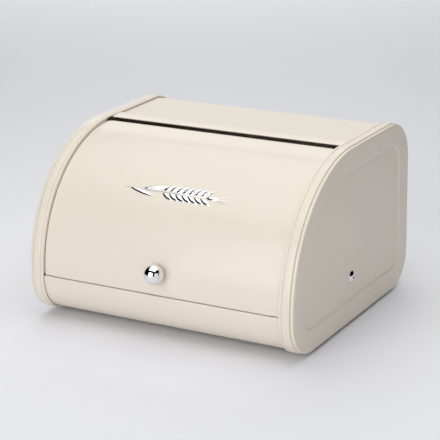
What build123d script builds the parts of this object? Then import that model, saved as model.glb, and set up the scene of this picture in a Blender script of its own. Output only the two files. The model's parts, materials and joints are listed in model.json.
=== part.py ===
# A bread box with a curved lid that rolls back inside the body.
# Millimetres, +Z up, the front looks along -Y and the box is alike left and right.
# The origin is on the floor under the middle of the whole footprint, knob included.
import os
from math import asin, cos, degrees, radians, sin, sqrt

from build123d import *

os.makedirs("parts", exist_ok=True)

# Body, seen from the side: the line that the rim's highest ridge follows
width = 340.0            # over the flat faces of the two side panels
depth = 311.0
front_radius = 153.5     # big roll of the front, centred on the lid's pins
pivot_height = 53.5      # pins above the rim's lowest line
toe_radius = 47.0        # front bottom corner
heel_radius = 42.0       # back bottom corner
crown_radius = 50.0      # back top corner
foot_gap = 3.5           # floor to the rim's lowest line

# Steel sheet
sheet = 0.6
sheet_inset = 2.7        # outer face of the wrapped sheets below the rim's ridge
sheet_tuck = 12.4        # how far the wrapped sheets reach in under the rim

# Rim of the side panels, from its inner edge outwards
rim_width = 18.0
hem_width = 3.2
hem_depth = 2.5
hem_groove_width = 1.4
hem_groove_depth = 1.3
bead_groove_width = 1.8
bead_groove_depth = 3.0
bead_width = 3.2
bead_drop = 0.8          # bead below the ridge
bead_round = 1.3
groove_bend = 0.5        # bends into a groove
groove_floor_bend = 0.4  # bend at the floor of a groove
bend_rest = 0.02         # straight left between two tight bends

# Stamped recess in the side panels
recess_inset = 27.0      # from the outline to the step
recess_slope = 3.5       # width of the step
recess_depth = 2.0
recess_bend = 2.0
plate_overlap = 1.0      # flat plate runs past the inner end of the rolled section

# Front lip of the top sheet
lip_start = 159.0        # lip's front edge behind the front of the outline
lip_inset = 1.5          # at its front edge
lip_crest_inset = 0.9
lip_crest = 14.0         # crest behind the lip's front edge
lip_crest_round = 100.0
lip_length = 20.0
lip_rise_length = 5.0    # slope from the lip down to the top
lip_rise_round = 4.0
lip_side_gap = 0.6
fold_length = 7.0
fold_gap = 0.3

# Low front panel and its shelf
front_panel_height = 51.5
shelf_depth = 9.0
shelf_turn_down = 3.0
bend_radius = 0.8

# Lap of the base on the back sheet's flange
back_flange = 22.0       # flange in front of the heel's round
lap_overlap = 15.0
lap_step = 4.0           # length of the base's step up onto the flange
lap_clear = 3.0
lap_gap = 0.05

# Vent holes in the back
vent_radius = 2.5
vent_columns = 9
vent_rows = 2
vent_pitch = 14.0
vent_height = 100.0      # middle of the pattern above the rim's lowest line

# Lid
lid_drop = 4.3           # lid's outer face below the rim's ridge
lid_side_gap = 0.4       # lid to the rim's inner edge
lid_top_angle = 89.0     # degrees up from straight forward
lid_corner_radius = 8.0
lid_hem_width = 6.0
lid_hem_gap = 0.3
lid_open_angle = 78.0
seam_gap = 0.7           # lid to the low front panel

# Cheeks of the lid
cheek_sheet = 0.8
cheek_edge = 0.8         # lid overhangs the cheek
cheek_flange = 8.0
cheek_top_margin = 2.5   # degrees that the cheek stops short of the lid's top edge
cheek_flange_margin = 3.5  # degrees that its flange stops short of the lid's edges
cheek_boss_radius = 15.0
cheek_fit = 0.05

# Pins, bushes, spacers and caps
pin_radius = 3.0
pin_hole_gap = 0.1
pin_head_radius = 6.8
pin_head_height = 3.0
bush_running_gap = 0.06
bush_wall = 1.5
bush_flange_radius = 7.0
bush_flange = 1.2
bush_fit = 0.05
spacer_bore_gap = 0.2
spacer_wall = 2.8
pivot_end_gap = 0.3      # running gap between pieces along the pin
cap_radius = 5.5
cap_length = 3.0
cap_wall = 1.0

# Knob
knob_angle = 9.4         # degrees up from straight forward
knob_radius = 11.4
knob_stand_off = 10.2    # lid's face to the ball's centre
knob_thread_radius = 2.0
knob_thread_depth = 8.5
knob_screw_head_radius = 3.9
knob_screw_head = 2.4
knob_screw_slot = 1.0
knob_screw_round = 0.8
knob_washer_radius = 5.5
knob_washer_thickness = 0.8
screw_gap = 0.1
seat_gap = 0.05

# Ornament: a wheat ear lying on the lid
ornament_angle = 45.0
ornament_relief = 1.1
ear_start = -8.0         # first pair of grains, from the middle of the lid
grain_pairs = 7
grain_pitch = 8.0
grain_length = 16.0
grain_width = 5.4
grain_tilt = 28.0
grain_spread = 5.6       # grain's middle above and below the stem
stem_left = -66.0
stem_width = 1.7
awn_length = 13.0
awn_width = 0.9
leaf_length = 34.0
leaf_width = 5.0
leaf_tilt = 13.0
leaf_roots = (-58.0, -42.0)
stud_radius = 1.2
stud_length = 5.0
stud_pitch = 42.0
push_nut_radius = 4.0
push_nut_thickness = 0.9
knot_radius = 2.2

# Feet, buffers and stops
foot_radius = 9.0
foot_taper = 1.0
foot_side_inset = 40.0   # foot's middle to the side panel's face
foot_front_inset = 58.0  # foot's middle to the front of the outline
foot_back_gap = 20.0     # foot's middle in front of the back sheet's flange
foot_stem_radius = 3.0
foot_bulb_radius = 4.6
foot_bulb = 1.8
foot_bulb_taper = 30.0    # degrees
stem_gap = 0.1
buffer_length = 8.0
buffer_width = 5.0
buffer_edge = 1.8        # pad's front edge behind the low panel's face
buffer_corner = 1.0
stop_radius = 6.0
stop_length = 12.0
stop_side_inset = 55.0
stop_button = 1.4
stop_round = 1.5
rest_gap = 0.3           # lid to the pads and stops that it rests on

# Places that follow from the sizes
half = sheet / 2
lid_radius = front_radius - lid_drop
knob_reach = (lid_radius + knob_stand_off) * cos(radians(knob_angle)) + knob_radius - front_radius
front_y = (knob_reach - depth) / 2
back_y = front_y + depth
low_z = foot_gap
top_z = low_z + pivot_height + front_radius
pivot_y = front_y + front_radius
pivot_z = low_z + pivot_height
rim_x = width / 2 - rim_width
sheet_x = rim_x + sheet_tuck
lid_x = rim_x - lid_side_gap
panel_face_x = width / 2 - recess_depth
panel_inner_x = panel_face_x - sheet
shelf_z = low_z + front_panel_height
lid_bottom_angle = degrees(asin((shelf_z + seam_gap - pivot_z) / lid_radius))
lid_inner = lid_radius - sheet
hem_inner = lid_inner - lid_hem_gap - sheet
middle_inset = sheet_inset + half      # middle of the wrapped sheets
base_z = low_z + sheet_inset
base_inner_z = base_z + sheet
flange_y = back_y - heel_radius - back_flange
cheek_x = lid_x - cheek_edge           # outer face of the right cheek
cheek_inner_x = cheek_x - cheek_sheet
bush_bore = pin_radius + bush_running_gap
bush_radius = bush_bore + bush_wall
bush_outer_x = cheek_x + bush_fit + bush_flange
bush_inner_x = cheek_inner_x - bush_fit - bush_flange
cap_x = bush_inner_x - pivot_end_gap   # open end of the right cap


def on_roll(radius, angle):
    """A point (y, z) at a radius from the pins and an angle up from straight forward."""
    return (pivot_y - radius * cos(radians(angle)), pivot_z + radius * sin(radians(angle)))


def roll_plane(radius, angle, x=0.0):
    """A plane that faces straight out from the pins: its X runs to the right."""
    y, z = on_roll(radius, angle)
    outward = (0, -cos(radians(angle)), sin(radians(angle)))
    return Plane(origin=(x, y, z), x_dir=(1, 0, 0), z_dir=outward)


def side_outline(inset):
    """The body's outline drawn inwards by inset: a closed line in the side view's y and z."""
    front, back = front_y + inset, back_y - inset
    low, top = low_z + inset, top_z - inset
    crown_y = back_y - crown_radius
    start = ((pivot_y + crown_y) / 2, top)
    with BuildLine() as line:
        Line(start, (crown_y, top))
        CenterArc((crown_y, top_z - crown_radius), crown_radius - inset, 90, -90)
        Line((back, top_z - crown_radius), (back, low_z + heel_radius))
        CenterArc((back_y - heel_radius, low_z + heel_radius), heel_radius - inset, 0, -90)
        Line((back_y - heel_radius, low), (front_y + toe_radius, low))
        CenterArc((front_y + toe_radius, low_z + toe_radius), toe_radius - inset, -90, -90)
        Line((front, low_z + toe_radius), (front, pivot_z))
        CenterArc((pivot_y, pivot_z), front_radius - inset, 180, -90)
        Line((pivot_y, top), start)
    return line.wire()


def roll_ring(outer, inner, low_angle, high_angle):
    """A ring sector about the pins: a closed line in the side view's y and z."""
    with BuildLine() as ring:
        CenterArc((pivot_y, pivot_z), outer, 180 - high_angle, high_angle - low_angle)
        Line(on_roll(outer, low_angle), on_roll(inner, low_angle))
        CenterArc((pivot_y, pivot_z), inner, 180 - high_angle, high_angle - low_angle)
        Line(on_roll(inner, high_angle), on_roll(outer, high_angle))
    return ring.wire()


def pin_plane(side, x):
    """A plane across one side's pin at a distance x from the middle, facing outwards."""
    return Plane(origin=(side * x, pivot_y, pivot_z), x_dir=(0, side, 0), z_dir=(side, 0, 0))


def save(part, name):
    part.label = name
    export_step(part, f"parts/{name}.step")
    print(f"{name}: {len(part.solids())} solid(s), {part.volume:.0f} mm3")


# Side panels: one rolled and stamped section carried round the outline, closed by a flat plate
section_plane = Plane(
    origin=(0, (pivot_y + back_y - crown_radius) / 2, top_z), x_dir=(1, 0, 0), z_dir=(0, -1, 0)
)
bead_x = width / 2 - bead_width
groove_x = bead_x - bead_groove_width
hem_x = rim_x + hem_width
band_x = hem_x + hem_groove_width
rim_points = [
    (hem_x, -hem_depth + half),
    (rim_x + half, -hem_depth + half),
    (rim_x + half, -half),
    (hem_x, -half),
    (hem_x + hem_groove_width / 2, -hem_groove_depth - half),
    (band_x, -half),
    (groove_x, -half),
    (groove_x + bead_groove_width / 2, -bead_groove_depth - half),
    (bead_x, -bead_drop - half),
    (width / 2 - half, -bead_drop - half),
    (width / 2 - half, -recess_inset),
    (panel_face_x - half, -recess_inset - recess_slope),
    (panel_face_x - half, -recess_inset - 2 * recess_slope),
]
hem_bend = (hem_depth - sheet) / 2 - bend_rest
rim_rounds = [
    hem_bend,
    hem_bend,
    groove_bend,
    groove_floor_bend,
    groove_bend,
    groove_bend,
    groove_floor_bend,
    groove_bend,
    bead_round,
    recess_bend,
    recess_bend,
]

with BuildPart() as side_panel_right:
    with BuildSketch(section_plane):
        with BuildLine():
            FilletPolyline(*rim_points, radius=rim_rounds)
            offset(amount=half)
        make_face()
    sweep(path=Plane.YZ * side_outline(0))
    with BuildSketch(Plane.YZ.offset(panel_inner_x)):
        with BuildLine():
            add(side_outline(recess_inset + recess_slope + plate_overlap))
        make_face()
    extrude(amount=sheet)
    with BuildSketch(Plane.YZ.offset(panel_inner_x)):
        with Locations((pivot_y, pivot_z)):
            Circle(pin_radius + pin_hole_gap)
    extrude(amount=sheet, both=True, mode=Mode.SUBTRACT)
save(side_panel_right.part, "side_panel_right")

with BuildPart() as side_panel_left:
    mirror(side_panel_right.part, about=Plane.YZ)
save(side_panel_left.part, "side_panel_left")

# Top and back: one sheet from the folded front lip to a flange under the base
lip_middle = top_z - lip_inset - half
crest_middle = top_z - lip_crest_inset - half
lip_y = front_y + lip_start
lip_end_y = lip_y + lip_length + lip_rise_length
fold_step = sheet + fold_gap
fold_round = fold_step / 2 - bend_rest
top_back_points = [
    (lip_y + fold_length, lip_middle - fold_step),
    (lip_y + half, lip_middle - fold_step),
    (lip_y + half, lip_middle),
    (lip_y + lip_crest, crest_middle),
    (lip_y + lip_length, crest_middle),
    (lip_end_y, top_z - middle_inset),
    (back_y - middle_inset, top_z - middle_inset),
    (back_y - middle_inset, low_z + middle_inset),
    (flange_y, low_z + middle_inset),
]
top_back_rounds = [
    fold_round,
    fold_round,
    lip_crest_round,
    lip_rise_round,
    lip_rise_round,
    crown_radius - middle_inset,
    heel_radius - middle_inset,
]
stop_z = on_roll(hem_inner, lid_top_angle + lid_open_angle)[1] - rest_gap - stop_radius
stop_x = width / 2 - stop_side_inset
stem_hole = foot_stem_radius + stem_gap

with BuildPart() as top_back_sheet:
    with BuildSketch(Plane.YZ):
        with BuildLine():
            FilletPolyline(*top_back_points, radius=top_back_rounds)
            offset(amount=half)
        make_face()
    extrude(amount=sheet_x, both=True)
    # The lip lies between the rims, the rest reaches in under them
    with BuildSketch(Plane.XY.offset(top_z)):
        with Locations(((sheet_x + rim_x) / 2, (lip_y + lip_end_y) / 2)):
            Rectangle(sheet_x - rim_x + 2 * lip_side_gap, lip_end_y - lip_y + sheet)
        mirror(about=Plane.YZ)
    extrude(amount=-2 * middle_inset, mode=Mode.SUBTRACT)
    back_plane = Plane(origin=(0, back_y, low_z), x_dir=(-1, 0, 0), z_dir=(0, 1, 0))
    with BuildSketch(back_plane):
        with Locations((0, vent_height)):
            with GridLocations(vent_pitch, vent_pitch, vent_columns, vent_rows):
                Circle(vent_radius)
        with Locations((stop_x, stop_z - low_z), (-stop_x, stop_z - low_z)):
            Circle(stem_hole)
    extrude(amount=-2 * middle_inset, mode=Mode.SUBTRACT)
save(top_back_sheet.part, "top_back_sheet")

# Base and low front panel: one sheet from the shelf round the toe to the lap at the back
shelf_y = front_y + middle_inset + shelf_depth
lap_lift = sheet + lap_gap
base_front_points = [
    (shelf_y, shelf_z - half - shelf_turn_down),
    (shelf_y, shelf_z - half),
    (front_y + middle_inset, shelf_z - half),
    (front_y + middle_inset, low_z + middle_inset),
    (flange_y - lap_clear - lap_step, low_z + middle_inset),
    (flange_y - lap_clear, low_z + middle_inset + lap_lift),
    (flange_y + lap_overlap, low_z + middle_inset + lap_lift),
]
base_front_rounds = [
    bend_radius,
    bend_radius,
    toe_radius - middle_inset,
    lap_step / 2,
    lap_step / 2,
]
foot_x = width / 2 - foot_side_inset
foot_ys = {"front": front_y + foot_front_inset, "back": flange_y - foot_back_gap}

with BuildPart() as base_front_sheet:
    with BuildSketch(Plane.YZ):
        with BuildLine():
            FilletPolyline(*base_front_points, radius=base_front_rounds)
            offset(amount=half)
        make_face()
    extrude(amount=sheet_x, both=True)
    with BuildSketch(Plane.XY.offset(base_inner_z)):
        with Locations(*[(side * foot_x, y) for side in (-1, 1) for y in foot_ys.values()]):
            Circle(stem_hole)
    extrude(amount=-2 * sheet, mode=Mode.SUBTRACT)
save(base_front_sheet.part, "base_front_sheet")

# Rubber feet, pushed up through the base
for end, foot_y in foot_ys.items():
    for side, hand in ((-1, "left"), (1, "right")):
        with BuildPart() as foot:
            with Locations((side * foot_x, foot_y, 0)):
                Cone(
                    foot_radius - foot_taper,
                    foot_radius,
                    base_z,
                    align=(Align.CENTER, Align.CENTER, Align.MIN),
                )
            with BuildSketch(Plane.XY.offset(base_z)):
                with Locations((side * foot_x, foot_y)):
                    Circle(foot_stem_radius)
            extrude(amount=sheet + foot_bulb)
            with BuildSketch(Plane.XY.offset(base_inner_z)):
                with Locations((side * foot_x, foot_y)):
                    Circle(foot_bulb_radius)
            extrude(amount=foot_bulb, taper=foot_bulb_taper)
        save(foot.part, f"foot_{end}_{hand}")

# Pads on the shelf and stops on the back, for the closed and the opened lid
for side, hand in ((-1, "left"), (1, "right")):
    with BuildPart() as lid_buffer:
        with BuildSketch(Plane.XY.offset(shelf_z)):
            pad_y = front_y + sheet_inset + buffer_edge + buffer_width / 2
            with Locations((side * (lid_x - buffer_length / 2), pad_y)):
                RectangleRounded(buffer_length, buffer_width, buffer_corner)
        extrude(amount=seam_gap - rest_gap)
    save(lid_buffer.part, f"lid_buffer_{hand}")

    stop_plane = Plane(
        origin=(side * stop_x, back_y - sheet_inset, stop_z), x_dir=(1, 0, 0), z_dir=(0, -1, 0)
    )
    with BuildPart() as open_stop:
        with BuildSketch(stop_plane):
            Circle(foot_stem_radius)
        extrude(amount=sheet)
        with BuildSketch(stop_plane):
            Circle(foot_bulb_radius)
        extrude(amount=-stop_button)
        with BuildSketch(stop_plane.offset(sheet)):
            Circle(stop_radius)
        extrude(amount=stop_length)
        fillet(open_stop.faces().sort_by(Axis.Y)[0].edges(), stop_round)
    save(open_stop.part, f"open_stop_{hand}")

# Pins, spacers, caps and bushes that carry the lid's cheeks
dome_radius = (pin_head_radius**2 + pin_head_height**2) / (2 * pin_head_height)
shank_length = panel_face_x - cap_x + cap_length - cap_wall - screw_gap
for side, hand in ((-1, "left"), (1, "right")):
    with BuildPart() as pivot_pin:
        with BuildSketch(pin_plane(side, panel_face_x)):
            Circle(pin_radius)
        extrude(amount=-shank_length)
        with BuildSketch(Plane.XY.offset(pivot_z)):
            with BuildLine():
                base_point = (side * panel_face_x, pivot_y)
                tip = (side * (panel_face_x + pin_head_height), pivot_y)
                edge = (side * panel_face_x, pivot_y + pin_head_radius)
                Line(base_point, tip)
                RadiusArc(tip, edge, side * dome_radius)
                Line(edge, base_point)
            make_face()
        revolve(axis=Axis((0, pivot_y, pivot_z), (1, 0, 0)))
    save(pivot_pin.part, f"pivot_pin_{hand}")

    with BuildPart() as pivot_spacer:
        with BuildSketch(pin_plane(side, bush_outer_x + pivot_end_gap)):
            Circle(pin_radius + spacer_bore_gap + spacer_wall)
            Circle(pin_radius + spacer_bore_gap, mode=Mode.SUBTRACT)
        extrude(amount=panel_inner_x - bush_outer_x - 2 * pivot_end_gap)
    save(pivot_spacer.part, f"pivot_spacer_{hand}")

    with BuildPart() as pivot_cap:
        with BuildSketch(pin_plane(side, cap_x)):
            Circle(cap_radius)
        extrude(amount=-cap_length)
        fillet(pivot_cap.faces().sort_by(Axis.X)[0 if side > 0 else -1].edges(), cap_wall)
        with BuildSketch(pin_plane(side, cap_x)):
            Circle(pin_radius + seat_gap)
        extrude(amount=-(cap_length - cap_wall), mode=Mode.SUBTRACT)
    save(pivot_cap.part, f"pivot_cap_{hand}")

    with BuildPart() as cheek_bush:
        with BuildSketch(pin_plane(side, cheek_x + bush_fit)):
            Circle(bush_flange_radius)
        extrude(amount=bush_flange)
        with BuildSketch(pin_plane(side, cheek_inner_x - bush_fit)):
            Circle(bush_radius)
        extrude(amount=cheek_sheet + 2 * bush_fit)
        with BuildSketch(pin_plane(side, bush_inner_x)):
            Circle(bush_flange_radius)
        extrude(amount=bush_flange)
        with BuildSketch(pin_plane(side, bush_inner_x)):
            Circle(bush_bore)
        extrude(amount=bush_outer_x - bush_inner_x, mode=Mode.SUBTRACT)
    save(cheek_bush.part, f"cheek_bush_{hand}")

# Lid: a curved sheet with folded top and bottom edges between its cheeks
fold_angle = degrees(lid_hem_width / lid_radius)
end_angle = degrees(sheet / lid_radius)
hem_half = cheek_inner_x - cheek_flange - rest_gap

with BuildPart() as lid_sheet:
    with BuildSketch(Plane.YZ):
        with BuildLine():
            add(roll_ring(lid_radius, lid_inner, lid_bottom_angle, lid_top_angle))
        make_face()
    extrude(amount=lid_x, both=True)
    radial = lid_sheet.edges().filter_by(lambda edge: edge.length < 2 * sheet)
    fillet(radial.group_by(Axis.Z)[-1], lid_corner_radius)
    for outer, low, high in (
        (lid_inner, lid_bottom_angle, lid_bottom_angle + end_angle),
        (lid_inner, lid_top_angle - end_angle, lid_top_angle),
        (hem_inner + sheet, lid_bottom_angle, lid_bottom_angle + fold_angle),
        (hem_inner + sheet, lid_top_angle - fold_angle, lid_top_angle),
    ):
        with BuildSketch(Plane.YZ):
            with BuildLine():
                add(roll_ring(outer, hem_inner, low, high))
            make_face()
        extrude(amount=hem_half, both=True)
    with BuildSketch(roll_plane(lid_radius, knob_angle)):
        Circle(knob_thread_radius + screw_gap)
    extrude(amount=2 * sheet, both=True, mode=Mode.SUBTRACT)
    with BuildSketch(roll_plane(lid_radius, ornament_angle)):
        with Locations((-stud_pitch, 0), (0, 0), (stud_pitch, 0)):
            Circle(stud_radius + screw_gap)
    extrude(amount=2 * sheet, both=True, mode=Mode.SUBTRACT)
save(lid_sheet.part, "lid_sheet")

# Cheeks: flat side plates with a flange that follows the inside of the lid
cheek_radius = lid_inner - cheek_fit
cheek_root = bush_radius + bush_fit
cheek_top_angle = lid_top_angle - cheek_top_margin

with BuildPart() as lid_cheek_right:
    with BuildSketch(Plane.YZ.offset(cheek_inner_x)):
        with BuildLine():
            add(roll_ring(cheek_radius, cheek_root, lid_bottom_angle, cheek_top_angle))
        make_face()
        with Locations((pivot_y, pivot_z)):
            Circle(cheek_boss_radius)
            Circle(cheek_root, mode=Mode.SUBTRACT)
    extrude(amount=cheek_sheet)
    with BuildSketch(Plane.YZ.offset(cheek_x)):
        low = lid_bottom_angle + cheek_flange_margin
        high = lid_top_angle - cheek_flange_margin
        with BuildLine():
            add(roll_ring(cheek_radius, cheek_radius - sheet, low, high))
        make_face()
    extrude(amount=-cheek_sheet - cheek_flange)
save(lid_cheek_right.part, "lid_cheek_right")

with BuildPart() as lid_cheek_left:
    mirror(lid_cheek_right.part, about=Plane.YZ)
save(lid_cheek_left.part, "lid_cheek_left")

# Knob: a ball with a flat foot, held by a screw from inside the lid
knob_plane = roll_plane(lid_radius + seat_gap, knob_angle)
with BuildPart() as knob:
    with Locations(knob_plane.offset(knob_stand_off - seat_gap)):
        Sphere(knob_radius)
    split(bisect_by=knob_plane, keep=Keep.TOP)
    with BuildSketch(knob_plane):
        Circle(knob_thread_radius + seat_gap)
    extrude(amount=knob_thread_depth + screw_gap, mode=Mode.SUBTRACT)
save(knob.part, "knob")

washer_seat = sqrt((lid_inner - seat_gap) ** 2 - knob_washer_radius**2)
washer_plane = roll_plane(washer_seat, knob_angle)
with BuildPart() as knob_washer:
    with BuildSketch(washer_plane):
        Circle(knob_washer_radius)
        Circle(knob_thread_radius + screw_gap, mode=Mode.SUBTRACT)
    extrude(amount=-knob_washer_thickness)
save(knob_washer.part, "knob_washer")

head_plane = washer_plane.offset(-knob_washer_thickness - seat_gap)
inward = Axis(head_plane.origin, -head_plane.z_dir)
screw_reach = lid_radius - washer_seat + knob_washer_thickness + knob_thread_depth
with BuildPart() as knob_screw:
    with BuildSketch(head_plane):
        Circle(knob_screw_head_radius)
    extrude(amount=-knob_screw_head)
    fillet(knob_screw.faces().sort_by(inward)[-1].edges(), knob_screw_round)
    with BuildSketch(head_plane.offset(-knob_screw_head)):
        Rectangle(2 * knob_screw_head_radius, knob_screw_slot)
    extrude(amount=knob_screw_slot, mode=Mode.SUBTRACT)
    with BuildSketch(head_plane):
        Circle(knob_thread_radius)
    extrude(amount=screw_reach)
save(knob_screw.part, "knob_screw")

# Ornament: a flat wheat ear bent to the lid, with three studs through it
ornament_plane = roll_plane(lid_radius, ornament_angle)
ear_end = ear_start + grain_pairs * grain_pitch
with BuildPart() as ornament:
    with BuildSketch(ornament_plane):
        with Locations(((stem_left + ear_end) / 2, 0)):
            Rectangle(ear_end - stem_left, stem_width)
        for pair in range(grain_pairs):
            for half_ear in (-1, 1):
                with Locations((ear_start + pair * grain_pitch, half_ear * grain_spread)):
                    Ellipse(grain_length / 2, grain_width / 2, rotation=half_ear * grain_tilt)
        with Locations((ear_end, 0)):
            Ellipse(grain_length / 2, grain_width / 2)
        for fan in (-1, 0, 1):
            with Locations((ear_end, 0)):
                with Locations(Location((0, 0), fan * grain_tilt / 2)):
                    with Locations((awn_length / 2 + grain_length / 4, 0)):
                        Rectangle(awn_length, awn_width)
        for root, half_ear in zip(leaf_roots, (-1, 1)):
            with Locations(Location((root, 0), half_ear * leaf_tilt)):
                with Locations((leaf_length / 2, 0)):
                    Ellipse(leaf_length / 2, leaf_width / 2)
        with Locations((-stud_pitch, 0), (0, 0), (stud_pitch, 0)):
            Circle(knot_radius)
    extrude(amount=2 * ornament_relief, both=True)
    with BuildSketch(Plane.YZ):
        with BuildLine():
            add(roll_ring(lid_radius + ornament_relief, lid_radius + seat_gap, 0, 90))
        make_face()
    extrude(amount=lid_x, both=True, mode=Mode.INTERSECT)
    with BuildSketch(ornament_plane.offset(ornament_relief / 2)):
        with Locations((-stud_pitch, 0), (0, 0), (stud_pitch, 0)):
            Circle(stud_radius)
    extrude(amount=-stud_length)
save(ornament.part, "ornament")

nut_seat = sqrt((lid_inner - seat_gap) ** 2 - push_nut_radius**2)
with BuildPart() as ornament_nuts:
    with BuildSketch(roll_plane(nut_seat, ornament_angle)):
        with Locations((-stud_pitch, 0), (0, 0), (stud_pitch, 0)):
            Circle(push_nut_radius)
            Circle(stud_radius + seat_gap, mode=Mode.SUBTRACT)
    extrude(amount=-push_nut_thickness)
save(ornament_nuts.part, "ornament_nuts")
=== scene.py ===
# %% [markdown]
# # A bread box with a roll-back lid
# The box is a wrapper of bent sheet steel between two stamped ends. A curved lid turns about a
# pin in each end and rolls back inside. The measured model that is loaded first fixes every size
# and place. This lesson rebuilds the pieces that show, one after another, with smooth bends and
# rolled edges, gives them their finishes, and then lights and photographs them.

# %% Load the measured model
import json
from math import asin, atan2, cos, degrees, pi, radians, sin, sqrt, tan

import bmesh
import bpy
from mathutils import Matrix, Vector

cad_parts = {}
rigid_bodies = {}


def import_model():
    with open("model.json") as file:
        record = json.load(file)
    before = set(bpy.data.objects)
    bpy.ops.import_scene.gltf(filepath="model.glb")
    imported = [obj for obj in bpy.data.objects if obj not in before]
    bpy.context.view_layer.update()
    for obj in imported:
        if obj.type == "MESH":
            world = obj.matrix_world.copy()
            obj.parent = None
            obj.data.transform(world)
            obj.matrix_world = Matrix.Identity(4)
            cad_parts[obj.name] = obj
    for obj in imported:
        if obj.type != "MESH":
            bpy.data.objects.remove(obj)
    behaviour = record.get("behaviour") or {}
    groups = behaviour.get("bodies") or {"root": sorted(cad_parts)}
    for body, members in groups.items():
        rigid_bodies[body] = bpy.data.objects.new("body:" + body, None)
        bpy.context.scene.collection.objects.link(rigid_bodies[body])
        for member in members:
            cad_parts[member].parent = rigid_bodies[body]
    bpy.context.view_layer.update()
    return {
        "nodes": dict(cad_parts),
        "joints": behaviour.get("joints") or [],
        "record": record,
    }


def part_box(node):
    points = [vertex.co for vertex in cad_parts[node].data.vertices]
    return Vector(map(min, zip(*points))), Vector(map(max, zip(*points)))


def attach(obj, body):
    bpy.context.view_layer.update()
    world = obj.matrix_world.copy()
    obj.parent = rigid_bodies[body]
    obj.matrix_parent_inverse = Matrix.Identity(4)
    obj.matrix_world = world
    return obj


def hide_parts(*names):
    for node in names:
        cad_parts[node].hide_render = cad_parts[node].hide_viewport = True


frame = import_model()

print("pieces in the measured model:", len(frame["nodes"]))

# %% [markdown]
# ## Places
# Almost every place follows from the measured model: the outline from the side panel, the roll's
# centre from the lid's hinge, and the roll's radius from the lid. Only small sizes, such as the
# thickness of the sheet and the widths of the rim's grooves, are given here as numbers.

# %% Places from the measured model
mm = 0.001
side_low, side_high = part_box("side_panel_right")
wrap_low, wrap_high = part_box("top_back_sheet")
base_low, base_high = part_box("base_front_sheet")
lid_low, lid_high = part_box("lid_sheet")
pivot = Vector(frame["joints"][0]["pos_m"])

front_y, back_y = side_low.y, side_high.y
low_z, top_z = side_low.z, side_high.z
rim_x, face_x = side_low.x, side_high.x
lid_x = lid_high.x
lid_radius = pivot.y - lid_low.y

sheet = 0.6 * mm
half = sheet / 2
weld = 0.01 * mm
toe_radius = 47.0 * mm
heel_radius = 42.0 * mm
crown_radius = 50.0 * mm
sheet_inset = back_y - wrap_high.y
middle = sheet_inset + half
print(f"roll's radius {lid_radius / mm:.1f} mm, sheets {sheet_inset / mm:.1f} mm inside the rim")

# %% [markdown]
# ## Drawing with one point
# Bent sheet is easiest to draw as a line seen from its edge. A single point is pushed out from
# corner to corner, each corner is then rounded to its bend, and the line is carried along or
# round to make a surface. The same few moves make nearly every piece here, so they get helpers.

# %% Helpers for drawing
def rename(piece, name):
    """Gives an object and its mesh one name."""
    piece.name = name
    piece.data.name = name


def start_from(name):
    """Names the newest object and opens it in edit mode with everything selected."""
    piece = bpy.context.object
    rename(piece, name)
    bpy.ops.object.mode_set(mode="EDIT")
    bpy.ops.mesh.select_mode(type="VERT")
    bpy.ops.mesh.select_all(action="SELECT")
    return piece


def draw_line(name, points):
    """A chain of edges: a point is pushed out from place to place."""
    bpy.ops.object.select_all(action="DESELECT")
    bpy.ops.mesh.primitive_plane_add(size=mm, location=points[0])
    bpy.ops.object.transform_apply()
    piece = start_from(name)
    bpy.ops.mesh.merge(type="CENTER")
    for here, there in zip(points, points[1:]):
        bpy.ops.mesh.extrude_region_move(TRANSFORM_OT_translate={"value": there - here})
    return piece


def bend(piece, place, radius, steps):
    """Rounds the line's corner at a place."""
    bpy.ops.mesh.select_all(action="DESELECT")
    mesh = bmesh.from_edit_mesh(piece.data)
    corner = min(mesh.verts, key=lambda point: (point.co - place).length)
    arms = [edge.other_vert(corner).co - corner.co for edge in corner.link_edges]
    turn = pi - arms[0].angle(arms[1])
    corner.select_set(True)
    bmesh.update_edit_mesh(piece.data)
    bpy.ops.mesh.bevel(offset=radius * tan(turn / 2), segments=steps, affect="VERTICES")


def draw_bent_line(name, corners):
    """A line through corners, each given as (place, bend radius, steps round the bend)."""
    piece = draw_line(name, [place for place, radius, steps in corners])
    for place, radius, steps in corners:
        if radius:
            bend(piece, place, radius, steps)
    bpy.ops.mesh.select_all(action="SELECT")
    return piece


def carry(step):
    """Carries what is selected straight along."""
    bpy.ops.mesh.extrude_region_move(TRANSFORM_OT_translate={"value": step})


def turn_round(centre, angle, steps, axis=(1, 0, 0)):
    """Carries what is selected round an axis, by an angle in degrees."""
    bpy.ops.mesh.spin(steps=steps, angle=radians(angle), center=centre, axis=axis)


def pick(piece, kind, test):
    """Selects the points, edges or faces that pass a test on the part and its middle."""
    bpy.ops.mesh.select_mode(type=kind)
    bpy.ops.mesh.select_all(action="DESELECT")
    mesh = bmesh.from_edit_mesh(piece.data)
    parts = {"VERT": mesh.verts, "EDGE": mesh.edges, "FACE": mesh.faces}[kind]
    count = 0
    for part in parts:
        points = [part] if kind == "VERT" else part.verts
        centre = sum((point.co for point in points), Vector()) / len(points)
        if test(part, centre):
            part.select_set(True)
            count += 1
    bmesh.update_edit_mesh(piece.data)
    return count


def tidy_mesh(piece):
    """Merges doubled points, makes the faces look the same way and leaves edit mode."""
    bpy.ops.mesh.select_mode(type="VERT")
    bpy.ops.mesh.select_all(action="SELECT")
    bpy.ops.mesh.remove_doubles(threshold=weld)
    bpy.ops.mesh.normals_make_consistent(inside=False)
    bpy.ops.object.mode_set(mode="OBJECT")


def use_modifier(piece, kind, **values):
    """Adds a modifier, sets its values and applies it."""
    modifier = piece.modifiers.new(kind.title(), kind)
    for key, value in values.items():
        setattr(modifier, key, value)
    bpy.ops.object.modifier_apply(modifier=modifier.name)


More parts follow.
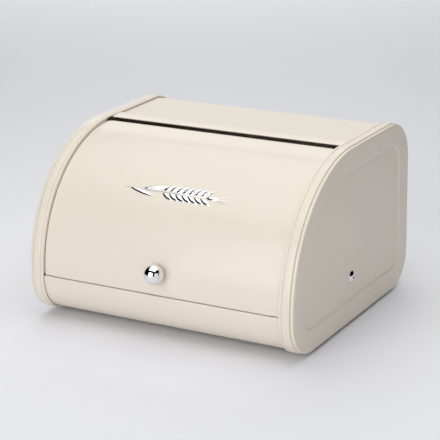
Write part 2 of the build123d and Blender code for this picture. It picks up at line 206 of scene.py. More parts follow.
def thicken(piece, thickness, side=0.0):
    """Gives a surface a thickness: side 0 is half on each side, -1 all behind the surface."""
    use_modifier(piece, "SOLIDIFY", thickness=thickness, offset=side, use_even_offset=True)


def take(piece):
    """Leaves one piece selected and active."""
    bpy.ops.object.select_all(action="DESELECT")
    piece.select_set(True)
    bpy.context.view_layer.objects.active = piece


def mirrored(piece, name):
    """A copy of a piece on the other side of the box, with its own mesh."""
    take(piece)
    bpy.ops.object.duplicate(linked=False)
    twin = bpy.context.object
    twin.scale.x = -1
    bpy.ops.object.transform_apply()
    rename(twin, name)
    return twin


def face_outwards(piece):
    """Turns a closed piece right side out if it is inside out."""
    mesh = bmesh.new()
    mesh.from_mesh(piece.data)
    if mesh.calc_volume(signed=True) < 0:
        bmesh.ops.reverse_faces(mesh, faces=mesh.faces)
        mesh.to_mesh(piece.data)
    volume = mesh.calc_volume(signed=False)
    mesh.free()
    return volume


def finish_piece(piece, body, node, smooth=35):
    """Shades a piece, puts its place in its mesh, ties it to its body and hides the node it stands
    for.
    """
    take(piece)
    bpy.ops.object.transform_apply()
    volume = face_outwards(piece)
    bpy.ops.object.shade_smooth_by_angle(angle=radians(smooth))
    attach(piece, body)
    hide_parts(node)
    print(f"{piece.name}: {len(piece.data.polygons)} faces, {volume * 1e9:.0f} mm3")


print("helpers ready")

# %% [markdown]
# ## Side panels
# Each end is one stamping. From the inside edge outwards its rim has a folded hem, a fine
# groove, a flat band, a deeper groove and a round bead at the corner. The face behind the bead
# has a shallow recess with a sloped step. Sliced through, all of that is one bent line, so the
# line is drawn once at the top of the box and carried round the outline: straight along the
# top, round the crown, down the back, round the heel, and so on until it meets itself.

# %% Rim sizes and the section
hem_width = 3.2 * mm
hem_depth = 2.5 * mm
hem_groove_width = 1.4 * mm
hem_groove_depth = 1.3 * mm
bead_groove_width = 1.8 * mm
bead_groove_depth = 3.0 * mm
bead_width = 3.2 * mm
bead_drop = 0.8 * mm
bead_round = 1.3 * mm
groove_bend = 0.5 * mm
groove_floor_bend = 0.4 * mm
hem_bend = 0.93 * mm
recess_inset = 26.0 * mm
recess_slope = 2.2 * mm
recess_depth = 2.0 * mm
recess_bend = 1.0 * mm
crown_steps = 24
heel_steps = 22
toe_steps = 22
roll_steps = 60

crown_y = back_y - crown_radius
section_y = (pivot.y + crown_y) / 2
bead_x = face_x - bead_width
groove_x = bead_x - bead_groove_width
hem_x = rim_x + hem_width
band_x = hem_x + hem_groove_width
panel_x = face_x - recess_depth - half

rim_corners = [
    (hem_x, hem_depth - half, 0, 0),
    (rim_x + half, hem_depth - half, hem_bend, 5),
    (rim_x + half, half, hem_bend, 5),
    (hem_x, half, groove_bend, 3),
    (hem_x + hem_groove_width / 2, hem_groove_depth + half, groove_floor_bend, 4),
    (band_x, half, groove_bend, 3),
    (groove_x, half, groove_bend, 4),
    (groove_x + bead_groove_width / 2, bead_groove_depth + half, groove_floor_bend, 4),
    (bead_x, bead_drop + half, groove_bend, 4),
    (face_x - half, bead_drop + half, bead_round, 6),
    (face_x - half, recess_inset, recess_bend, 4),
    (panel_x, recess_inset + recess_slope, recess_bend, 4),
    (panel_x, recess_inset + 2 * recess_slope, 0, 0),
]
section = [
    (Vector((x, section_y, top_z - depth)), radius, steps)
    for x, depth, radius, steps in rim_corners
]
print("corners in the rim's section:", len(section))

# %% [markdown]
# The section runs once round the outline and ends where it began. Each straight stretch is one
# push, and each corner is a spin about its own centre. The front, where the lid rolls, is a
# quarter turn about the pins.

# %% Carry the section round the outline
side_panel_right = draw_bent_line("side_panel_right_stamping", section)
carry(Vector((0, crown_y - section_y, 0)))
turn_round((0, crown_y, top_z - crown_radius), 90, crown_steps)
carry(Vector((0, 0, low_z + heel_radius - top_z + crown_radius)))
turn_round((0, back_y - heel_radius, low_z + heel_radius), 90, heel_steps)
carry(Vector((0, front_y + toe_radius - back_y + heel_radius, 0)))
turn_round((0, front_y + toe_radius, low_z + toe_radius), 90, toe_steps)
carry(Vector((0, 0, pivot.z - low_z - toe_radius)))
turn_round(pivot, 90, roll_steps)
carry(Vector((0, section_y - pivot.y, 0)))
bpy.ops.mesh.select_all(action="SELECT")
bpy.ops.mesh.remove_doubles(threshold=weld)
print("points in the rim:", len(bmesh.from_edit_mesh(side_panel_right.data).verts))

# %% [markdown]
# Beside the lid the folded hem reaches further in, so that the gap between the lid and the rim
# stays thin and dark. The hem's inner points are picked there and pushed towards the pins. Then
# the flat middle is filled, the sheet gets its thickness, and the other end is a mirrored copy.

# %% Deepen the hem and finish both ends
hem_reach = 2.4 * mm
hem_start_angle = 1
hem_end_angle = 88
front_radius = pivot.y - front_y


def beside_lid(point, place):
    """The lower half of the hem, where it runs beside the lid."""
    angle = degrees(atan2(place.z - pivot.z, pivot.y - place.y))
    depth = front_radius - (Vector((0, place.y, place.z)) - pivot).length
    in_reach = hem_start_angle < angle < hem_end_angle
    return place.x < hem_x + half and in_reach and depth > hem_depth / 2


deepened = pick(side_panel_right, "VERT", beside_lid)
shrink = 1 - hem_reach / (front_radius - hem_depth)
bpy.ops.transform.resize(value=(1, shrink, shrink), center_override=pivot)
print("points of the hem pushed in beside the lid:", deepened)
inner = pick(
    side_panel_right,
    "EDGE",
    lambda edge, place: edge.is_boundary and abs(place.x - panel_x) < half,
)
bpy.ops.mesh.edge_face_add()
tidy_mesh(side_panel_right)
thicken(side_panel_right, sheet)
side_panel_left = mirrored(side_panel_right, "side_panel_left_stamping")
finish_piece(side_panel_right, "box", "side_panel_right")
finish_piece(side_panel_left, "box", "side_panel_left")
print("edges round the flat middle:", inner)

# %% [markdown]
# ## Top and back
# One sheet makes the top and the back. Its front edge is folded under for strength, and just
# behind it the sheet swells into a low lip that lies between the rims, so that the lid can
# pass under it. Further back the sheet drops a little and runs in under the rims. It is drawn
# from the fold to the flange under the base and carried across the box in three stretches,
# and the lip's outer stretches are then cut away.

# %% Draw and carry the top and back sheet
lip_y = wrap_low.y
lip_inset = 1.5 * mm
lip_crest_inset = top_z - wrap_high.z
lip_crest = 14.0 * mm
lip_crest_round = 100.0 * mm
lip_length = 20.0 * mm
lip_rise_length = 5.0 * mm
lip_rise_round = 4.0 * mm
lip_side_gap = 0.6 * mm
fold_length = 7.0 * mm
fold_gap = 0.3 * mm
fold_step = sheet + fold_gap
fold_flat = 0.02 * mm
fold_round = fold_step / 2 - fold_flat
back_flange = 22.0 * mm

lip_x = rim_x - lip_side_gap
sheet_x = wrap_high.x
lip_middle = top_z - lip_inset - half
crest_middle = top_z - lip_crest_inset - half
lip_end_y = lip_y + lip_length + lip_rise_length
flange_y = back_y - heel_radius - back_flange


def across(y, z, radius=0, steps=0):
    """A corner of a line that is drawn at the left end of a wrapped sheet."""
    return (Vector((-sheet_x, y, z)), radius, steps)


top_back_sheet = draw_bent_line(
    "top_back_sheet_panel",
    [
        across(lip_y + fold_length, lip_middle - fold_step),
        across(lip_y + half, lip_middle - fold_step, fold_round, 5),
        across(lip_y + half, lip_middle, fold_round, 6),
        across(lip_y + lip_crest, crest_middle, lip_crest_round, 6),
        across(lip_y + lip_length, crest_middle, lip_rise_round, 4),
        across(lip_end_y, top_z - middle, lip_rise_round, 4),
        across(back_y - middle, top_z - middle, crown_radius - middle, 24),
        across(back_y - middle, low_z + middle, heel_radius - middle, 20),
        across(flange_y, low_z + middle),
    ],
)
carry(Vector((sheet_x - lip_x, 0, 0)))
carry(Vector((2 * lip_x, 0, 0)))
carry(Vector((sheet_x - lip_x, 0, 0)))
cut = pick(
    top_back_sheet,
    "FACE",
    lambda face, place: abs(place.x) > lip_x and place.y < lip_end_y and place.z > pivot.z,
)
bpy.ops.mesh.delete(type="FACE")
tidy_mesh(top_back_sheet)
thicken(top_back_sheet, sheet)
print("faces cut away beside the lip:", cut)

# %% [markdown]
# Bread needs air, so the back has two rows of punched vents, and two more holes hold the rubber
# stops. Punching is a cut with a tool, and a Boolean with a row of pins is just that.

# %% Punch the back
vent_radius = 2.5 * mm
vent_pitch = 14.0 * mm
vent_columns = 9
vent_rows = 2
vent_height = 100.0 * mm
vent_z = low_z + vent_height
stop_low, stop_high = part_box("open_stop_right")
stop_x = (stop_low.x + stop_high.x) / 2
stop_z = (stop_low.z + stop_high.z) / 2
stem_hole = 3.1 * mm
hole_sides = 32
punch_length = 10 * sheet
back_middle = back_y - middle

holes = [(Vector((side * stop_x, back_middle, stop_z)), stem_hole) for side in (-1, 1)]
for row in range(vent_rows):
    for column in range(vent_columns):
        x = (column - (vent_columns - 1) / 2) * vent_pitch
        z = vent_z + (row - (vent_rows - 1) / 2) * vent_pitch
        holes.append((Vector((x, back_middle, z)), vent_radius))


def punch(piece, holes, tip):
    """Cuts round holes, given as (place, radius), with upright pins tipped by some degrees."""
    bpy.ops.object.select_all(action="DESELECT")
    pins = []
    for place, radius in holes:
        bpy.ops.mesh.primitive_cylinder_add(
            vertices=hole_sides,
            radius=radius,
            depth=punch_length,
            location=place,
            rotation=(radians(tip), 0, 0),
        )
        pins.append(bpy.context.object)
    for pin in pins:
        pin.select_set(True)
    bpy.ops.object.join()
    tool = bpy.context.object
    take(piece)
    use_modifier(piece, "BOOLEAN", object=tool, operation="DIFFERENCE", solver="EXACT")
    bpy.data.objects.remove(tool)


punch(top_back_sheet, holes, 90)
finish_piece(top_back_sheet, "box", "top_back_sheet")
print("holes in the back:", len(holes))

# %% [markdown]
# ## Base and low front panel
# The second sheet starts at the shelf behind the seam, comes down the front, rounds the toe and
# runs back along the base until it laps over the flange of the back sheet. Four holes for the
# feet are punched as in the back.

# %% Draw and carry the base sheet
shelf_z = base_high.z
shelf_depth = 9.0 * mm
shelf_turn_down = 3.0 * mm
shelf_bend = 0.8 * mm
lap_gap = 0.05 * mm
lap_lift = sheet + lap_gap
lap_step = 4.0 * mm
lap_clear = 3.0 * mm
shelf_y = base_low.y + half + shelf_depth
front_middle = base_low.y + half

base_front_sheet = draw_bent_line(
    "base_front_sheet_panel",
    [
        across(shelf_y, shelf_z - half - shelf_turn_down),
        across(shelf_y, shelf_z - half, shelf_bend, 5),
        across(front_middle, shelf_z - half, shelf_bend, 6),
        across(front_middle, low_z + middle, toe_radius - middle, 24),
        across(flange_y - lap_clear - lap_step, low_z + middle, lap_step / 2, 3),
        across(flange_y - lap_clear, low_z + middle + lap_lift, lap_step / 2, 3),
        across(base_high.y, low_z + middle + lap_lift),
    ],
)
carry(Vector((2 * sheet_x, 0, 0)))
tidy_mesh(base_front_sheet)
thicken(base_front_sheet, sheet)
foot_places = {}
for end in ("front", "back"):
    for hand in ("left", "right"):
        low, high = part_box(f"foot_{end}_{hand}")
        foot_places[f"foot_{end}_{hand}"] = Vector(((low.x + high.x) / 2, (low.y + high.y) / 2, 0))
base_middle = Vector((0, 0, low_z + middle))
punch(base_front_sheet, [(place + base_middle, stem_hole) for place in foot_places.values()], 0)
finish_piece(base_front_sheet, "box", "base_front_sheet")

# %% [markdown]
# ## Lid
# A real lid is cut flat, hemmed flat and rolled last. The same order works here: a plane is the
# blank, its top corners are rounded, the top and bottom edges are folded back as hems, and
# only then does a bend modifier roll it about the pins. The blank stands upright at the lid's
# foremost line, so its height is a length along the roll.

# %% Cut and hem the flat blank
lid_bottom_angle = degrees(asin((lid_low.z - pivot.z) / lid_radius))
lid_top_angle = 89.0
corner_radius = 8.0 * mm
hem_round = 0.75 * mm
hem_length = 5.2 * mm
hem_end_gap = 9.9 * mm
hem_half = lid_x - hem_end_gap
roll_front = Vector((0, pivot.y - lid_radius, pivot.z))


def along_roll(angle):
    """A height on the flat blank for an angle on the rolled lid."""
    return lid_radius * radians(angle)


blank_low = along_roll(lid_bottom_angle) + hem_round
blank_high = along_roll(lid_top_angle) - hem_round

bpy.ops.object.select_all(action="DESELECT")
bpy.ops.mesh.primitive_plane_add(size=1, rotation=(pi / 2, 0, 0))
bpy.context.object.scale = (2 * lid_x, blank_high - blank_low, 1)
bpy.context.object.location = (0, 0, (blank_low + blank_high) / 2)
bpy.ops.object.transform_apply()
lid_sheet = start_from("lid_sheet_panel")
pick(lid_sheet, "VERT", lambda point, place: place.z > blank_high - mm)
bpy.ops.mesh.bevel(offset=corner_radius, segments=8, affect="VERTICES")
for x in (-hem_half, hem_half):
    bpy.ops.mesh.select_all(action="SELECT")
    bpy.ops.mesh.bisect(plane_co=(x, 0, 0), plane_no=(1, 0, 0))
for edge_z, direction in ((blank_high, 1), (blank_low, -1)):
    pick(
        lid_sheet,
        "EDGE",
        lambda edge, place: abs(place.z - edge_z) < half and abs(place.x) < hem_half - mm,
    )
    turn_round((0, hem_round, edge_z), direction * 180, 8)
    carry(Vector((0, 0, -direction * hem_length)))
row_angle = 2.5
rows = int(lid_top_angle / row_angle)
for row in range(rows + 1):
    bpy.ops.mesh.select_all(action="SELECT")
    bpy.ops.mesh.bisect(plane_co=(0, 0, along_roll(row * row_angle)), plane_no=(0, 0, 1))
tidy_mesh(lid_sheet)
print("flat blank:", tuple(round(size / mm, 1) for size in lid_sheet.dimensions), "mm")

# %% [markdown]
# The bend modifier takes one angle for the whole height of a piece: the height divided by the
# roll's radius. The sheet gets its thickness before the roll, all of it behind the face.


# %% Roll it
def roll(piece):
    """Rolls a flat upright piece about the pins, the lid's face keeping its length."""
    heights = [point.co.z for point in piece.data.vertices]
    piece.location = roll_front
    use_modifier(
        piece,
        "SIMPLE_DEFORM",
        deform_method="BEND",
        deform_axis="X",
        angle=(max(heights) - min(heights)) / lid_radius,
    )
    bpy.ops.object.transform_apply()


if sum(face.normal.y for face in lid_sheet.data.polygons if abs(face.center.y) < half) > 0:
    lid_sheet.data.flip_normals()
thicken(lid_sheet, sheet, -1.0)
roll(lid_sheet)
finish_piece(lid_sheet, "lid", "lid_sheet")
reach = [sqrt((p.co.y - pivot.y) ** 2 + (p.co.z - pivot.z) ** 2) for p in lid_sheet.data.vertices]
print(f"lid lies {min(reach) / mm:.2f} to {max(reach) / mm:.2f} mm from the pins")

# %% [markdown]
# ## Knob and pins
# Both are turned parts, so each is half a profile spun about its axis. The knob stands square
# on the lid. A pin lies across the box with its head on the side panel, and the head is a low
# dome with a dimple from the riveting tool.

# %% Turn the knob
knob_angle = 9.4
ball_radius = 11.4 * mm
ball_height = 10.2 * mm
seat_gap = 0.05 * mm


def spin_profile(name, corners, steps=64):
    """A turned piece about Z from a half profile of (radius, height, bend, steps) corners."""
    line = [(Vector((radius, 0, height)), bend, count) for radius, height, bend, count in corners]
    piece = draw_bent_line(name, line)
    turn_round((0, 0, 0), 360, steps, axis=(0, 0, 1))
    tidy_mesh(piece)
    return piece


def stand_on_lid(piece, angle):
    """Turns a piece made about Z square to the lid at an angle up from straight forward."""
    piece.rotation_euler.x = radians(90 - angle)
    outward = Vector((0, -cos(radians(angle)), sin(radians(angle))))
    piece.location = pivot + lid_radius * outward


ball_foot = asin((ball_height - seat_gap) / ball_radius)
ball_steps = 40
profile = [(0, seat_gap, 0, 0)]
for step in range(ball_steps + 1):
    angle = -ball_foot + (ball_foot + pi / 2) * step / ball_steps
    radius = ball_radius * cos(angle) if step < ball_steps else 0
    profile.append((radius, ball_height + ball_radius * sin(angle), 0, 0))
knob = spin_profile("knob_ball", profile, 96)
stand_on_lid(knob, knob_angle)
finish_piece(knob, "lid", "knob")

# %% Turn the pins
pin_low, pin_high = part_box("pivot_pin_right")
pin_radius = 3.0 * mm
pin_round = 0.4 * mm
head_rim = 0.5 * mm
dimple_radius = 2.2 * mm
dimple_depth = 1.1 * mm
dome_steps = 14

head_seat = face_x - recess_depth
head_radius = (pin_high.z - pin_low.z) / 2
head_height = pin_high.x - head_seat
dome_radius = (head_radius**2 + head_height**2) / (2 * head_height)
dome_start = asin((head_radius - head_rim / 3) / dome_radius)
dimple_start = asin(dimple_radius / dome_radius)

profile = [
    (0, pin_low.x, 0, 0),
    (pin_radius, pin_low.x, pin_round, 3),
    (pin_radius, head_seat, 0, 0),
    (head_radius - head_rim, head_seat, 0, 0),
]
for step in range(dome_steps + 1):
    angle = dome_start + (dimple_start - dome_start) * step / dome_steps
    height = head_height - dome_radius * (1 - cos(angle))
    profile.append((dome_radius * sin(angle), head_seat + height, 0, 0))
dimple_edge = head_seat + height
for step in range(1, dome_steps + 1):
    reach = 1 - step / dome_steps
    depth = dimple_depth * (1 - reach**2)
    profile.append((dimple_radius * reach, dimple_edge - depth, 0, 0))
pin_right = spin_profile("pivot_pin_right_turned", profile)
pin_right.rotation_euler.y = pi / 2
pin_right.location = (0, pivot.y, pivot.z)
bpy.ops.object.transform_apply()
pin_left = mirrored(pin_right, "pivot_pin_left_turned")
finish_piece(pin_right, "box", "pivot_pin_right")
finish_piece(pin_left, "box", "pivot_pin_left")

# %% [markdown]
# ## Wheat ear
# The ornament is a cast ear of wheat: a stem with two leaves, grains in pairs and a few awns. It is
# modelled flat on the lid's flat blank and rolled with the same bend, so it follows the lid. One
# grain is shaped from a sphere, cut flat at the back, and copied into place.

# %% Shape one grain, one leaf and one awn
ear_angle = 45.0
relief = 1.05 * mm
ear_start = -8.0 * mm
grain_pairs = 7
grain_pitch = 8.0 * mm
grain_length = 16.0 * mm
grain_width = 5.4 * mm
grain_tilt = 28.0
grain_spread = 5.6 * mm
stem_left = -66.0 * mm
stem_width = 1.7 * mm
stem_height = 0.75 * relief
awn_length = 13.0 * mm
awn_overlap = 1.3
awn_width = 0.9 * mm
awn_height = 0.6 * relief
leaf_length = 34.0 * mm
leaf_width = 5.0 * mm
leaf_height = 0.7 * relief
leaf_tilt = 13.0
blade_rings = 8
leaf_roots = (-58.0 * mm, -42.0 * mm)
ear_z = along_roll(ear_angle)
ear_end = ear_start + grain_pairs * grain_pitch


def blade(name, length, width, height, tip):
    """A flat-backed drop along X, at its widest near the root and drawn out to the tip."""
    bpy.ops.object.select_all(action="DESELECT")
    bpy.ops.mesh.primitive_uv_sphere_add(segments=20, ring_count=16, radius=1, rotation=(0, pi / 2, 0))
    bpy.context.object.scale = (height, width / 2, length / 2)
    bpy.ops.object.transform_apply()
    piece = start_from(name)
    for ring in range(1, blade_rings):
        reach = ring / blade_rings
        pick(piece, "VERT", lambda point, place: place.x > reach * length / 2)
        size = 1 - tip * reach / 4
        bpy.ops.transform.resize(value=(1, size, size), center_override=(0, 0, 0))
    bpy.ops.mesh.select_all(action="SELECT")
    bpy.ops.mesh.bisect(
        plane_co=(0, 0, 0),
        plane_no=(0, 0, 1),
        use_fill=True,
        clear_inner=True,
        threshold=weld / 10,
    )
    bpy.ops.object.mode_set(mode="OBJECT")
    return piece


def lay(piece, x, z, tilt=0.0, flip=1):
    """Lays a copy of a blade on the flat blank, turned by tilt degrees."""
    take(piece)
    bpy.ops.object.duplicate(linked=False)
    copy = bpy.context.object
    turn = Matrix.Rotation(radians(-flip * tilt), 4, "Y")
    stand = Matrix.Rotation(pi / 2, 4, "X")
    copy.matrix_world = Matrix.Translation((x, -seat_gap, ear_z + z)) @ turn @ stand
    bpy.ops.object.transform_apply()
    return copy


grain = blade("grain", grain_length, grain_width, relief, tip=1.0)
leaf = blade("leaf", leaf_length, leaf_width, leaf_height, tip=1.2)
awn = blade("awn", awn_length * awn_overlap, awn_width, awn_height, tip=0.8)
stalk = blade("stalk", ear_end - stem_left, stem_width, stem_height, tip=0.2)
print("faces in a grain:", len(grain.data.polygons))

# %% [markdown]
# The stalk is laid down first. Grains follow in pairs that lean away from it, then one grain at
# the end with a fan of awns, and two leaves near the root. Joined into one piece, the ear is
# rolled as the lid was.

# %% Lay out the ear and roll it
parts = [lay(stalk, (stem_left + ear_end) / 2, 0)]
for pair in range(grain_pairs):
    for side in (-1, 1):
        parts.append(lay(grain, ear_start + pair * grain_pitch, side * grain_spread, grain_tilt, side))
parts.append(lay(grain, ear_end, 0))
for fan in (-1, 0, 1):
    tilt = fan * grain_tilt / 2
    reach = awn_length / 2 + grain_length / 4
    x = ear_end + reach * cos(radians(tilt))
    parts.append(lay(awn, x, reach * sin(radians(tilt)), tilt))
for root, side in zip(leaf_roots, (-1, 1)):
    x = root + leaf_length / 2 * cos(radians(leaf_tilt))
    parts.append(lay(leaf, x, side * leaf_length / 2 * sin(radians(leaf_tilt)), leaf_tilt, side))
bpy.ops.object.select_all(action="DESELECT")
for part in parts:
    part.select_set(True)
bpy.context.view_layer.objects.active = parts[0]
bpy.ops.object.join()
ornament = bpy.context.object
rename(ornament, "ornament_ear")
for pattern in (grain, leaf, awn, stalk):
    bpy.data.objects.remove(pattern)
roll(ornament)
finish_piece(ornament, "lid", "ornament", smooth=50)

# %% [markdown]
# ## Feet, pads and stops
# Four rubber feet are pushed up through the base. Two pale plastic pads lie on the shelf under
# the lid's corners, and two rubber stops on the back catch the opened lid.

# %% Feet
foot_low, foot_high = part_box("foot_front_right")
foot_radius = (foot_high.x - foot_low.x) / 2
base_z = low_z + sheet_inset
foot_taper = 1.0 * mm
foot_round = 0.8 * mm
foot_shoulder = 0.5 * mm
stem = 3.0 * mm
bulb = 4.6 * mm
bulb_round = 0.3 * mm
turned_steps = 48

foot_profile = [
    (0, 0, 0, 0),
    (foot_radius - foot_taper, 0, foot_round, 4),
    (foot_radius, base_z, foot_shoulder, 3),
    (stem, base_z, 0, 0),
    (stem, base_z + sheet, 0, 0),
    (bulb, base_z + sheet, bulb_round, 2),
    (stem, foot_high.z, foot_round, 4),
    (0, foot_high.z, 0, 0),
]
for node, place in foot_places.items():
    foot = spin_profile(f"{node}_rubber", foot_profile, turned_steps)
    foot.location = place
    finish_piece(foot, "box", node)

# %% Pads
pad_corner = 1.0 * mm
pad_edge = 0.2 * mm
for hand in ("left", "right"):
    low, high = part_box(f"lid_buffer_{hand}")
    bpy.ops.object.select_all(action="DESELECT")
    bpy.ops.mesh.primitive_cube_add(size=1, location=(low + high) / 2)
    bpy.context.object.scale = high - low
    bpy.ops.object.transform_apply()
    pad = start_from(f"lid_buffer_{hand}_pad")
    pick(pad, "EDGE", lambda edge, place: abs(place.z - (low.z + high.z) / 2) < weld)
    bpy.ops.mesh.bevel(offset=pad_corner, segments=5)
    pick(pad, "EDGE", lambda edge, place: place.z > high.z - weld)
    bpy.ops.mesh.bevel(offset=pad_edge, segments=3)
    bpy.ops.object.mode_set(mode="OBJECT")
    finish_piece(pad, "box", f"lid_buffer_{hand}")

# %% Stops
stop_radius = (stop_high.x - stop_low.x) / 2
stop_seat = back_y - sheet_inset - sheet
stop_length = stop_seat - stop_low.y
stop_round = 1.5 * mm
button = 1.4 * mm
button_round = 0.5 * mm
for hand, side in (("left", -1), ("right", 1)):
    stop = spin_profile(
        f"open_stop_{hand}_rubber",
        [
            (0, stop_length, 0, 0),
            (stop_radius, stop_length, stop_round, 5),
            (stop_radius, 0, 0, 0),
            (stem, 0, 0, 0),
            (stem, -sheet, 0, 0),
            (bulb, -sheet, 0, 0),
            (bulb, -sheet - button, button_round, 3),
            (0, -sheet - button, 0, 0),
        ],
        turned_steps,
    )
    stop.rotation_euler.x = pi / 2
    stop.location = (side * stop_x, stop_seat, stop_z)
    finish_piece(stop, "box", f"open_stop_{hand}")

# %% [markdown]
# ## Finishes
# The steel is sprayed and baked: an even cream with a soft gloss and a very fine ripple that
# painters call orange peel. The ripple and a faint change of tone are one node group, which
# every finish uses with its own sizes. Chrome is a mirror with the lightest haze of handling,
# rubber is dull and dusty, nylon is a pale satin, and so is the zinc on the small screws and nuts.

# %% Values that all finishes share
coat_roughness = 0.12
cloud_range = (0.3, 0.7)
print("clouds between", cloud_range, "set the gloss")


# %% Node helpers
def add_node(tree, kind, place, **values):
    """Adds a node at a place and sets its properties."""
    node = tree.nodes.new(kind)
    node.location = place
    for key, value in values.items():
        setattr(node, key, value)
    return node


def surface_group():
    """A node group that puts out a fine ripple and a slow cloudy mask."""
    group = bpy.data.node_groups.new("Surface ripple", "ShaderNodeTree")
    sockets = group.interface
    sockets.new_socket("Vector", in_out="INPUT", socket_type="NodeSocketVector")
    for name in ("Ripple scale", "Cloud scale"):
        sockets.new_socket(name, in_out="INPUT", socket_type="NodeSocketFloat")
    for name in ("Ripple", "Cloud"):
        sockets.new_socket(name, in_out="OUTPUT", socket_type="NodeSocketFloat")
    start = add_node(group, "NodeGroupInput", (-600, 0))
    end = add_node(group, "NodeGroupOutput", (300, 0))
    ripple = add_node(group, "ShaderNodeTexNoise", (-300, 150))
    ripple.inputs["Detail"].default_value = 2.0
    cloud = add_node(group, "ShaderNodeTexNoise", (-300, -150))
    cloud.inputs["Detail"].default_value = 3.0
    for noise, scale in ((ripple, "Ripple scale"), (cloud, "Cloud scale")):
        group.links.new(start.outputs["Vector"], noise.inputs["Vector"])
        group.links.new(start.outputs[scale], noise.inputs["Scale"])
    group.links.new(ripple.outputs["Fac"], end.inputs["Ripple"])
    group.links.new(cloud.outputs["Fac"], end.inputs["Cloud"])
    return group


ripple_group = surface_group()
print("node group:", ripple_group.name)


# %% One finish
def finish_material(name, tones, roughness, ripple_scale, cloud_scale, bump, metallic=0.0, coat=0.0):
    """A finish that drifts between two tones and two roughnesses over a rippled surface."""
    material = bpy.data.materials.new(name)
    material.use_nodes = True
    tree = material.node_tree
    shader = tree.nodes["Principled BSDF"]
    shader.inputs["Metallic"].default_value = metallic
    shader.inputs["Coat Weight"].default_value = coat
    shader.inputs["Coat Roughness"].default_value = coat_roughness
    place = add_node(tree, "ShaderNodeTexCoord", (-1000, 0))
    surface = add_node(tree, "ShaderNodeGroup", (-780, 0), node_tree=ripple_group)
    surface.inputs["Ripple scale"].default_value = ripple_scale
    surface.inputs["Cloud scale"].default_value = cloud_scale
    tree.links.new(place.outputs["Object"], surface.inputs["Vector"])
    tone = add_node(tree, "ShaderNodeMix", (-420, 180), data_type="RGBA")
    tone.inputs["A"].default_value = (*tones[0], 1)
    tone.inputs["B"].default_value = (*tones[1], 1)
    tree.links.new(surface.outputs["Cloud"], tone.inputs["Factor"])
    tree.links.new(tone.outputs["Result"], shader.inputs["Base Color"])
    gloss = add_node(tree, "ShaderNodeMapRange", (-420, -60))
    gloss.inputs["From Min"].default_value = cloud_range[0]
    gloss.inputs["From Max"].default_value = cloud_range[1]
    gloss.inputs["To Min"].default_value = roughness[0]
    gloss.inputs["To Max"].default_value = roughness[1]
    tree.links.new(surface.outputs["Cloud"], gloss.inputs["Value"])
    tree.links.new(gloss.outputs["Result"], shader.inputs["Roughness"])
    relief_node = add_node(tree, "ShaderNodeBump", (-420, -320))
    relief_node.inputs["Strength"].default_value = 1.0
    relief_node.inputs["Distance"].default_value = bump
    tree.links.new(surface.outputs["Ripple"], relief_node.inputs["Height"])
    tree.links.new(relief_node.outputs["Normal"], shader.inputs["Normal"])
    return material


print("a finish has two tones, two roughnesses and a ripple")

# %% The five finishes
cream_paint = finish_material(
    "cream paint",
    ((0.775, 0.706, 0.60), (0.79, 0.721, 0.615)),
    (0.38, 0.44),
    ripple_scale=900,
    cloud_scale=14,
    bump=0.006 * mm,
    coat=0.35,
)
chrome = finish_material(
    "polished chrome",
    ((0.86, 0.86, 0.88), (0.90, 0.90, 0.91)),
    (0.02, 0.05),
    ripple_scale=60,
    cloud_scale=120,
    bump=0.001 * mm,
    metallic=1.0,
)
rubber = finish_material(
    "black rubber",
    ((0.012, 0.012, 0.012), (0.03, 0.03, 0.029)),
    (0.55, 0.75),
    ripple_scale=1500,
    cloud_scale=90,
    bump=0.02 * mm,
)
nylon = finish_material(
    "white nylon",
    ((0.72, 0.71, 0.67), (0.78, 0.77, 0.73)),
    (0.4, 0.5),
    ripple_scale=1200,
    cloud_scale=60,
    bump=0.01 * mm,
)
zinc = finish_material(
    "zinc plate",
    ((0.50, 0.51, 0.52), (0.62, 0.62, 0.60)),
    (0.28, 0.4),
    ripple_scale=2500,
    cloud_scale=200,
    bump=0.006 * mm,
    metallic=1.0,
)
finishes = (cream_paint, chrome, rubber, nylon, zinc)
print("finishes:", ", ".join(material.name for material in finishes))

# %% [markdown]
# The hidden pieces of the measured model, such as the cheeks and the bushes, show through the
# open lid. They take the finish of their slot, as the rebuilt pieces do.

# %% Put the finishes on
finish_of_slot = {
    "cream_paint": cream_paint,
    "chrome": chrome,
    "rubber": rubber,
    "nylon": nylon,
    "zinc_steel": zinc,
}
slot_of_node = {part["node"]: part["material_slot"] for part in frame["record"]["subparts"]}
for node, piece in frame["nodes"].items():
    piece.data.materials.clear()
    piece.data.materials.append(finish_of_slot[slot_of_node[node]])
for piece in (side_panel_left, side_panel_right, top_back_sheet, base_front_sheet, lid_sheet):
    piece.data.materials.append(cream_paint)
for piece in (knob, pin_left, pin_right, ornament):
    piece.data.materials.append(chrome)
for piece in bpy.data.objects:
    if piece.name.endswith("_rubber"):
        piece.data.materials.append(rubber)
    if piece.name.endswith("_pad"):
        piece.data.materials.append(nylon)
print("slots:", ", ".join(finish_of_slot))

# %% [markdown]
# ## Studio
# The box stands on a pale seamless floor in a dark room. A wide soft box hangs overhead, and
# another hangs over the floor far behind, which keeps the background even. A large panel stands
# to the left of the camera and a small weak one near the box on its right. Far behind stands a
# dim backdrop for the top sheet to reflect. Chrome shows the room, so the panels stand where the
# knob and the pins reflect them. A faint room light fills the shadows: it reaches soft surfaces
# only, so chrome still reflects a dark room.

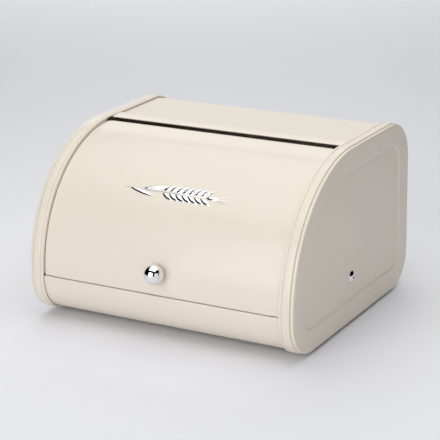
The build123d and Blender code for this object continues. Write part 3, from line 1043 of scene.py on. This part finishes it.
# %% Floor
floor_tone = (0.862, 0.868, 0.912)
bpy.ops.object.select_all(action="DESELECT")
bpy.ops.mesh.primitive_plane_add(size=16, location=(0, 2.0, 0))
floor = bpy.context.object
floor.name = "studio_floor"
floor_paint = bpy.data.materials.new("studio floor")
floor_paint.use_nodes = True
floor_shader = floor_paint.node_tree.nodes["Principled BSDF"]
floor_shader.inputs["Base Color"].default_value = (*floor_tone, 1)
floor_shader.inputs["Roughness"].default_value = 0.6
floor_shader.inputs["Specular IOR Level"].default_value = 0.2
floor.data.materials.append(floor_paint)
print("floor:", tuple(round(size) for size in floor.dimensions), "m")


# %% Lamps and room
def softbox(name, place, size, strength, target):
    """A rectangular lamp at a place, turned to its target. Strength 1 looks white."""
    lamp = bpy.data.lights.new(name, "AREA")
    lamp.shape = "RECTANGLE"
    lamp.size, lamp.size_y = size
    lamp.energy = strength * pi * size[0] * size[1]
    stand = bpy.data.objects.new(name, lamp)
    bpy.context.scene.collection.objects.link(stand)
    stand.location = place
    aim = Vector(target) - Vector(place)
    stand.rotation_euler = aim.to_track_quat("-Z", "Y").to_euler()
    return stand


softbox("overhead", (0, 0, 1.2), (1.6, 1.6), 1.46, target=(0, 0, 0))
softbox("rear lamp", (-1.9, 2.3, 1.6), (3.6, 1.8), 1.6, target=(-1.9, 2.3, 0))
softbox("backdrop", (-1.9, 3.2, 0.8), (4.2, 1.6), 0.75, target=(-1.9, 0, 0.8))
softbox("left panel", (-0.2, -2.2, 0.9), (1.8, 1.7), 2.92, target=(0, 0, 0.9))
softbox("right panel", (0.8, -0.52, 0.3), (0.75, 0.5), 0.8, target=(0, 0, 0.2))

room_light = 0.15
room = bpy.data.worlds.new("room")
room.use_nodes = True
room_tree = room.node_tree
room_surface = room_tree.nodes["Background"]
room_surface.inputs["Color"].default_value = (1, 1, 1, 1)
ray = add_node(room_tree, "ShaderNodeLightPath", (-600, 0))
soft = add_node(room_tree, "ShaderNodeMath", (-300, 0), operation="MULTIPLY")
soft.inputs[1].default_value = room_light
room_tree.links.new(ray.outputs["Is Diffuse Ray"], soft.inputs[0])
room_tree.links.new(soft.outputs["Value"], room_surface.inputs["Strength"])
bpy.context.scene.world = room

# %% [markdown]
# ## Camera
# The photograph was taken from the front right with a long lens, from a little above. The place
# and the angles here put the measured outline on the photographed one.

# %% Camera
camera_right = 910.35 * mm
camera_before = 1474.25 * mm
camera_height = 708.33 * mm
camera_place = Vector((camera_right, front_y - camera_before, camera_height))
camera_yaw = 29.29
camera_pitch = 18.05
camera_roll = -1.0
focal_pixels = 1662.8
image_width = 440
sensor_width = 36.0

lens = bpy.data.cameras.new("camera")
lens.sensor_width = sensor_width
lens.lens = focal_pixels * sensor_width / image_width
camera = bpy.data.objects.new("camera", lens)
bpy.context.scene.collection.objects.link(camera)
turn_yaw = Matrix.Rotation(radians(camera_yaw), 4, "Z")
turn_pitch = Matrix.Rotation(radians(90 - camera_pitch), 4, "X")
turn_roll = Matrix.Rotation(radians(camera_roll), 4, "Z")
camera.matrix_world = Matrix.Translation(camera_place) @ turn_yaw @ turn_pitch @ turn_roll
bpy.context.scene.camera = camera
bpy.context.scene.view_settings.view_transform = "Standard"
print(f"lens {lens.lens:.1f} mm")
